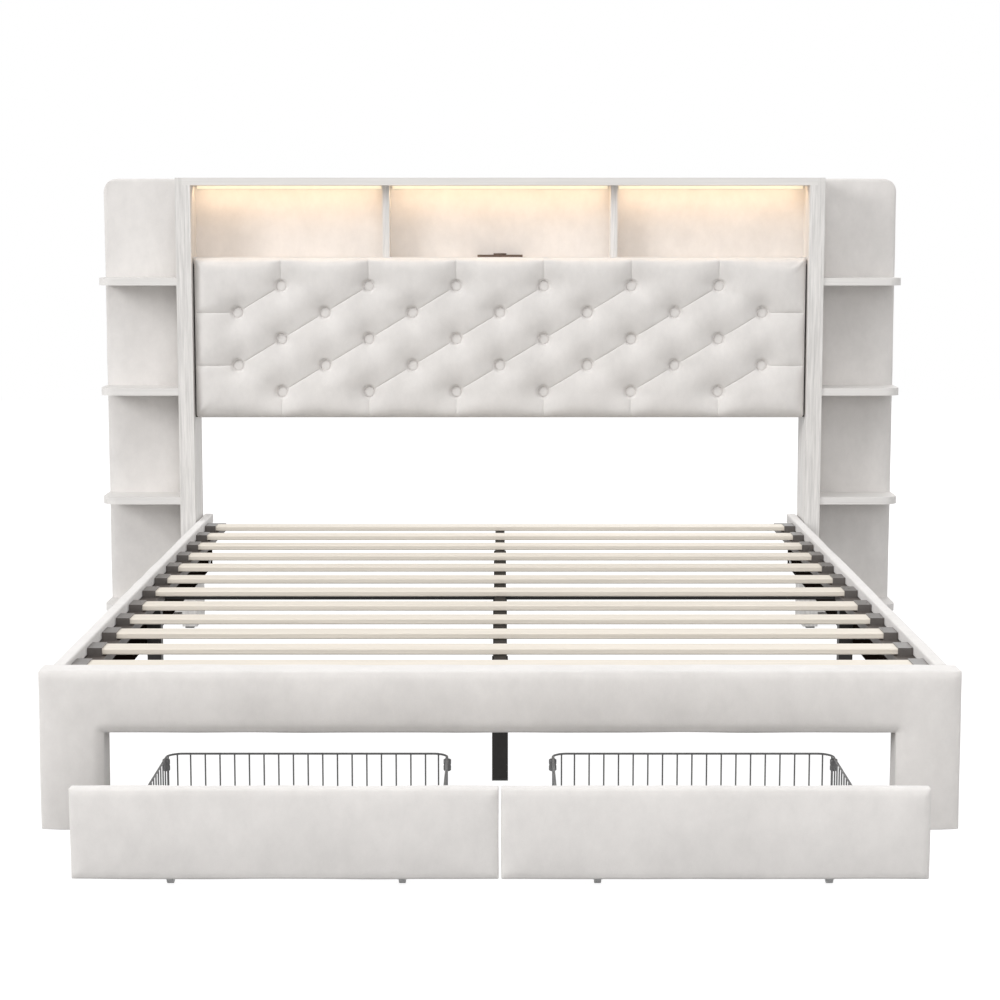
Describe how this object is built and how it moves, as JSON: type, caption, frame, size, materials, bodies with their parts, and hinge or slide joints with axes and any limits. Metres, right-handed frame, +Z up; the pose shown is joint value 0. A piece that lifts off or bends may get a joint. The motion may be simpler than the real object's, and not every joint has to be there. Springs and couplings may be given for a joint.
{
  "type": "upholstered storage bed",
  "caption": "Upholstered storage bed with a button-tufted headboard, lit cubbies, side shelf wings, a slatted deck and rolling basket drawers under the foot end.",
  "frame": {"origin": "bottom centre of the bed with its drawers pulled out as pictured", "axes": "+Y from the foot end to the headboard, +X to the right seen from the foot end, +Z up"},
  "size_m": [2.192, 2.605, 1.234],
  "materials": {
    "velvet": "soft short-pile velvet",
    "pale_board": "pale wood-grain laminate",
    "core_board": "bare board",
    "rail_lining": "dark lined board",
    "slat_wood": "smooth pale slat",
    "cap_plastic": "moulded",
    "ledge_steel": "powder coat",
    "dark_steel": "powder coat",
    "basket_wire": "coated wire",
    "bright_steel": "zinc plated",
    "wheel_plastic": "moulded",
    "glide_plastic": "moulded",
    "led_diffuser": "lit warm white diffuser",
    "charger_plastic": "moulded"
  },
  "bodies": {
    "base": {"centre_beam": "ledge_steel", "charger_plate": "charger_plastic", "charger_socket": "charger_plastic", "corner_brackets": "dark_steel", "cross_beam": "dark_steel", "cubby_back": "velvet", "cubby_dividers": "pale_board", "cubby_floor": "pale_board", "floor_glides": "glide_plastic", "footboard_core": "core_board", "footboard_cover": "velvet", "frame_bolts": "bright_steel", "led_strips": "led_diffuser", "left_post": "pale_board", "left_rail_core": "rail_lining", "left_rail_cover": "velvet", "left_wing_pad": "velvet", "left_wing_shelves": "pale_board", "left_wing_side": "pale_board", "rail_spacers": "core_board", "right_post": "pale_board", "right_rail_core": "rail_lining", "right_rail_cover": "velvet", "right_wing_pad": "velvet", "right_wing_shelves": "pale_board", "right_wing_side": "pale_board", "slat_01": "slat_wood", "slat_02": "slat_wood", "slat_03": "slat_wood", "slat_04": "slat_wood", "slat_05": "slat_wood", "slat_06": "slat_wood", "slat_07": "slat_wood", "slat_08": "slat_wood", "slat_09": "slat_wood", "slat_10": "slat_wood", "slat_11": "slat_wood", "slat_12": "slat_wood", "slat_caps": "cap_plastic", "slat_ledges": "ledge_steel", "support_legs": "dark_steel", "top_board": "pale_board", "tuft_buttons": "velvet", "tufted_board": "rail_lining", "tufted_pad": "velvet", "wing_boards": "core_board"},
    "left_drawer": {"left_drawer_core": "core_board", "left_drawer_cover": "velvet", "left_basket": "basket_wire", "left_basket_clips": "basket_wire", "left_wheel_brackets": "bright_steel"},
    "left_front_wheels": {"left_front_wheels": "wheel_plastic"},
    "left_rear_wheels": {"left_rear_wheels": "wheel_plastic"},
    "right_drawer": {"right_drawer_core": "core_board", "right_drawer_cover": "velvet", "right_basket": "basket_wire", "right_basket_clips": "basket_wire", "right_wheel_brackets": "bright_steel"},
    "right_front_wheels": {"right_front_wheels": "wheel_plastic"},
    "right_rear_wheels": {"right_rear_wheels": "wheel_plastic"}
  },
  "joints": [
    {"name": "left_drawer_roll", "type": "slide", "parent": "base", "child": "left_drawer", "axis": [0, -1, 0], "range_m": [-0.372, 0.1]},
    {"name": "left_front_wheels_spin", "type": "hinge", "parent": "left_drawer", "child": "left_front_wheels", "pos_m": [-0.363, -1.2645, 0.0125], "axis": [1, 0, 0], "continuous": true},
    {"name": "left_rear_wheels_spin", "type": "hinge", "parent": "left_drawer", "child": "left_rear_wheels", "pos_m": [-0.363, -0.8365, 0.0125], "axis": [1, 0, 0], "continuous": true},
    {"name": "right_drawer_roll", "type": "slide", "parent": "base", "child": "right_drawer", "axis": [0, -1, 0], "range_m": [-0.372, 0.1]},
    {"name": "right_front_wheels_spin", "type": "hinge", "parent": "right_drawer", "child": "right_front_wheels", "pos_m": [0.363, -1.2645, 0.0125], "axis": [1, 0, 0], "continuous": true},
    {"name": "right_rear_wheels_spin", "type": "hinge", "parent": "right_drawer", "child": "right_rear_wheels", "pos_m": [0.363, -0.8365, 0.0125], "axis": [1, 0, 0], "continuous": true}
  ],
  "couplings": [
    {"joint": "left_front_wheels_spin", "follows": "left_drawer_roll", "rad_per_m": 80},
    {"joint": "left_rear_wheels_spin", "follows": "left_drawer_roll", "rad_per_m": 80},
    {"joint": "right_front_wheels_spin", "follows": "right_drawer_roll", "rad_per_m": 80},
    {"joint": "right_rear_wheels_spin", "follows": "right_drawer_roll", "rad_per_m": 80}
  ]
}
